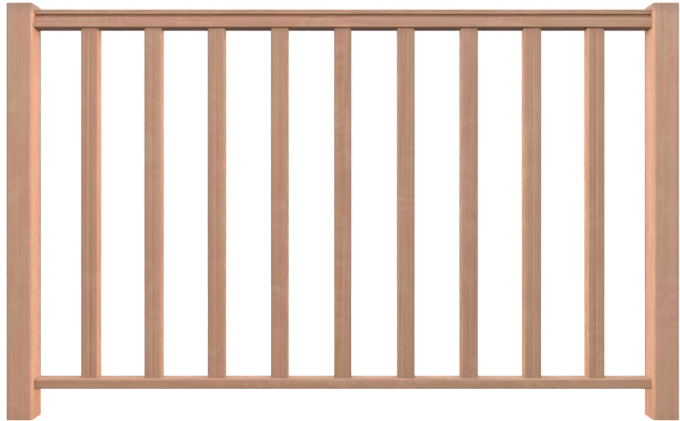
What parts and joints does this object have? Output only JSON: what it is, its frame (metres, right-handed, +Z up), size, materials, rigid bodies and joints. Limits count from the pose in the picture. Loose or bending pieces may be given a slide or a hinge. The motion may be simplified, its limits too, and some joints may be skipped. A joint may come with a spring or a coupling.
{
  "type": "deck railing section",
  "caption": "Timber deck railing section: square posts, a moulded top rail, a bevelled bottom rail and fluted upright balusters that guard a deck edge.",
  "frame": {"origin": "middle of the left post's foot face", "axes": "+X along the rails to the right post, +Y from the front to the back, +Z up"},
  "size_m": [1.474, 0.058, 0.914],
  "materials": {
    "post_timber": "oiled",
    "rail_timber": "oiled",
    "baluster_timber": "oiled"
  },
  "bodies": {
    "root": {"left_post": "post_timber", "right_post": "post_timber", "top_rail": "rail_timber", "bottom_rail": "rail_timber", "baluster_1": "baluster_timber", "baluster_2": "baluster_timber", "baluster_3": "baluster_timber", "baluster_4": "baluster_timber", "baluster_5": "baluster_timber", "baluster_6": "baluster_timber", "baluster_7": "baluster_timber", "baluster_8": "baluster_timber", "baluster_9": "baluster_timber"}
  },
  "joints": []
}
